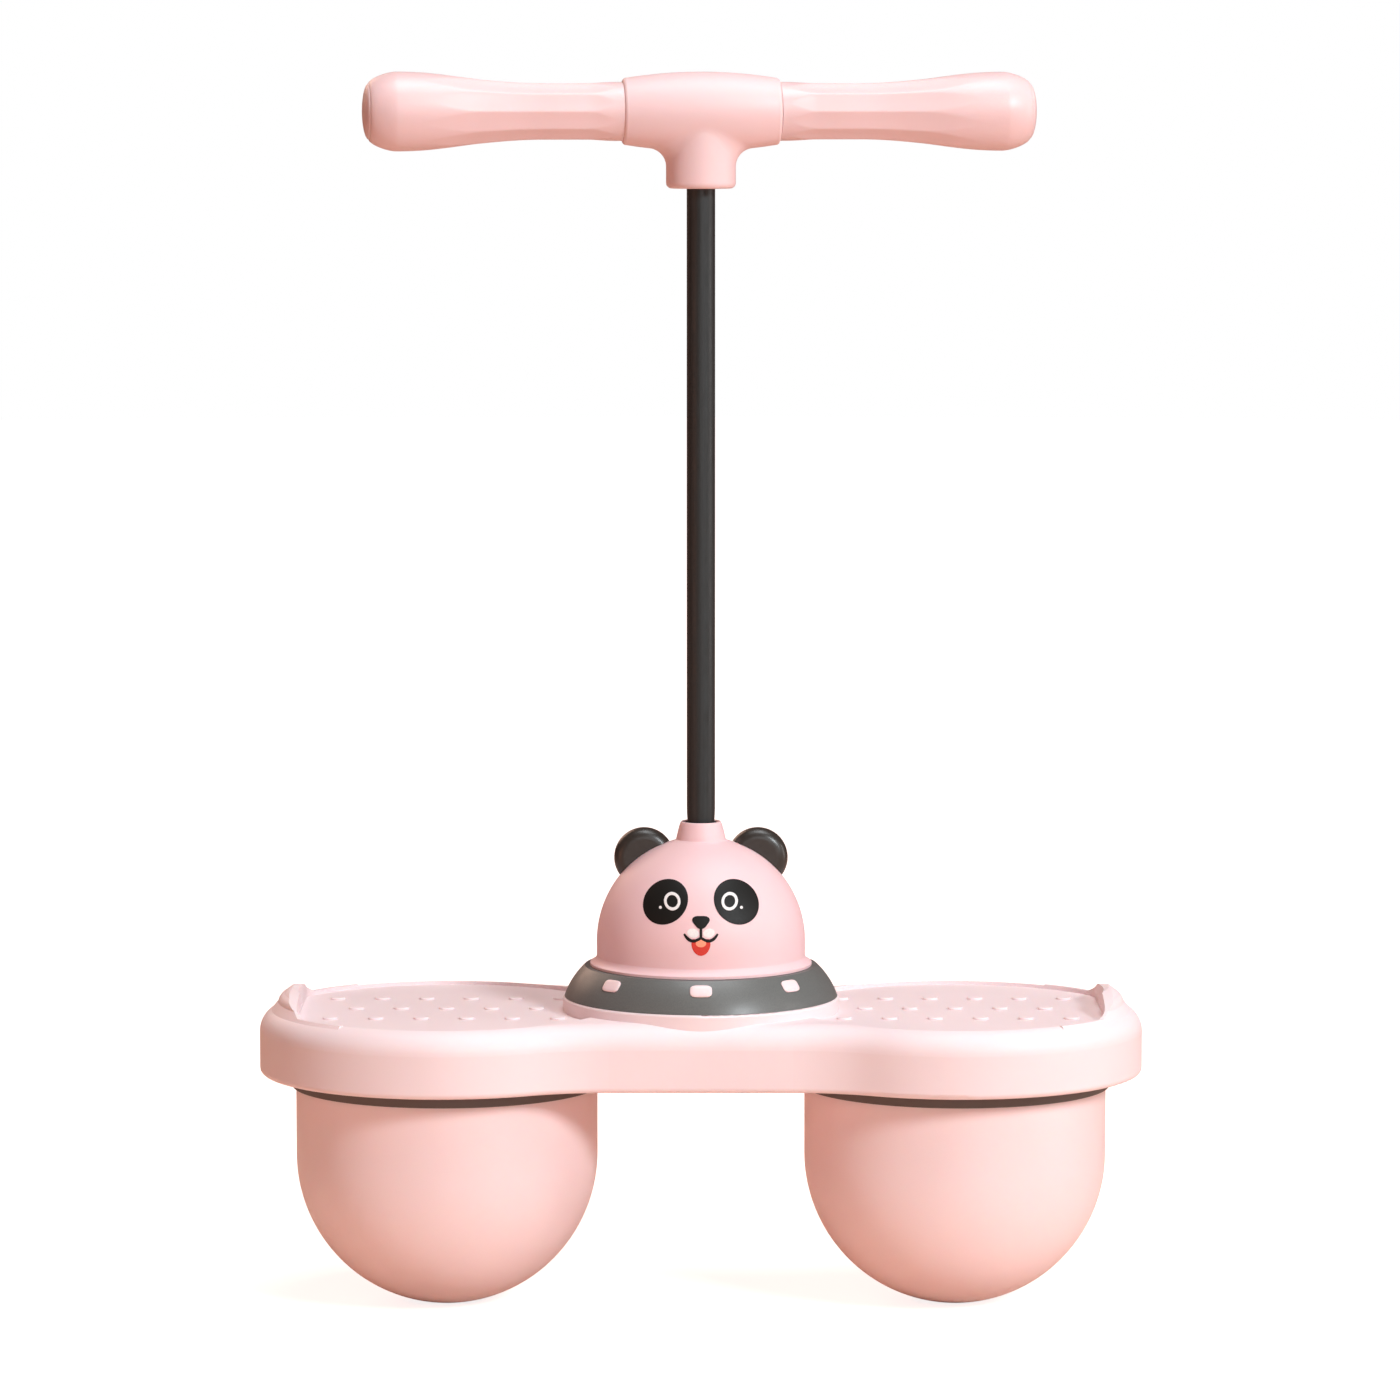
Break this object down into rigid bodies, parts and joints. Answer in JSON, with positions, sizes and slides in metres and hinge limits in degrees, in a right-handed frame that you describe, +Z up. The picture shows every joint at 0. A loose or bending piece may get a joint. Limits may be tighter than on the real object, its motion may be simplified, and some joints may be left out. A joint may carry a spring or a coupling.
{
  "type": "jumping toy",
  "caption": "Figure-of-eight foot deck on soft rubber balls, with a panda-head dome and a T-handle on a stretch cord.",
  "frame": {"origin": "on the floor, midway between the balls' feet, under the cord's axis", "axes": "+X along the deck, towards the right foot well seen from the front; +Y towards the back (the face looks along -Y); +Z up"},
  "size_m": [0.4796, 0.203, 0.6672],
  "materials": {
    "pink_shell": "smooth moulded pink plastic with a soft sheen",
    "pink_grip": "soft pink elastomer, satin, with shallow flutes",
    "pink_ball": "inflated pink rubber, satin",
    "gasket": "dark brown-grey rubber gasket",
    "ring_grey": "grey moulded plastic, semi-gloss",
    "ear_dark": "dark grey glossy plastic",
    "window_pink": "pale pink moulded inserts",
    "cord_black": "black stretch rubber, matt",
    "tray": "pink plastic, fine matt texture",
    "clamp": "grey plastic, unpainted",
    "steel": "zinc-plated steel"
  },
  "bodies": {
    "deck": {"deck_top": "pink_shell", "deck_base": "tray", "deck_screws": "steel", "dome_screws": "steel", "dome": "pink_shell", "saucer_ring": "ring_grey", "ring_windows": "window_pink", "neck_bush": "pink_shell", "cord_lower_washer": "steel", "cord_lower_ferrule": "steel", "ball_collar_left": "gasket", "ball_clamp_left": "clamp", "ear_left": "ear_dark", "ball_collar_right": "gasket", "ball_clamp_right": "clamp", "ear_right": "ear_dark"},
    "ball_left": {"ball_left": "pink_ball", "ball_valve_left": "pink_ball"},
    "ball_right": {"ball_right": "pink_ball", "ball_valve_right": "pink_ball"},
    "neck_bead": {"neck_grommet": "cord_black"},
    "cord": {"elastic_cord": "cord_black"},
    "cord_end": {"cord_upper_washer": "steel", "cord_upper_ferrule": "steel"},
    "handle": {"t_hub": "pink_shell", "hub_screws": "steel", "handle_tube": "steel", "grip_left": "pink_grip", "grip_right": "pink_grip", "grip_cap_left": "pink_grip", "grip_cap_right": "pink_grip"}
  },
  "joints": [
    {"name": "ball_left_squash", "type": "slide", "parent": "deck", "child": "ball_left", "axis": [0, 0, 1], "range_m": [0, 0.025], "stiffness_N_per_m": 6000, "springref_m": -0.0016, "deforming": ["ball_left", "ball_valve_left"]},
    {"name": "ball_right_squash", "type": "slide", "parent": "deck", "child": "ball_right", "axis": [0, 0, 1], "range_m": [0, 0.025], "stiffness_N_per_m": 6000, "springref_m": -0.0016, "deforming": ["ball_right", "ball_valve_right"]},
    {"name": "handle_lean_side", "type": "hinge", "parent": "deck", "child": "neck_bead", "pos_m": [0, 0, 0.2605], "axis": [0, 1, 0], "range_deg": [-25, 25], "stiffness_Nm_per_rad": 12},
    {"name": "handle_lean_fore_aft", "type": "hinge", "parent": "neck_bead", "child": "cord", "pos_m": [0, 0, 0.2605], "axis": [1, 0, 0], "range_deg": [-25, 25], "stiffness_Nm_per_rad": 12},
    {"name": "cord_stretch", "type": "slide", "parent": "cord", "child": "cord_end", "axis": [0, 0, 1], "range_m": [0, 0.15], "stiffness_N_per_m": 400, "deforming": ["elastic_cord"]},
    {"name": "handle_swivel", "type": "hinge", "parent": "cord_end", "child": "handle", "pos_m": [0, 0, 0.646], "axis": [0, 0, 1], "range_deg": [-90, 90], "stiffness_Nm_per_rad": 0.25}
  ]
}
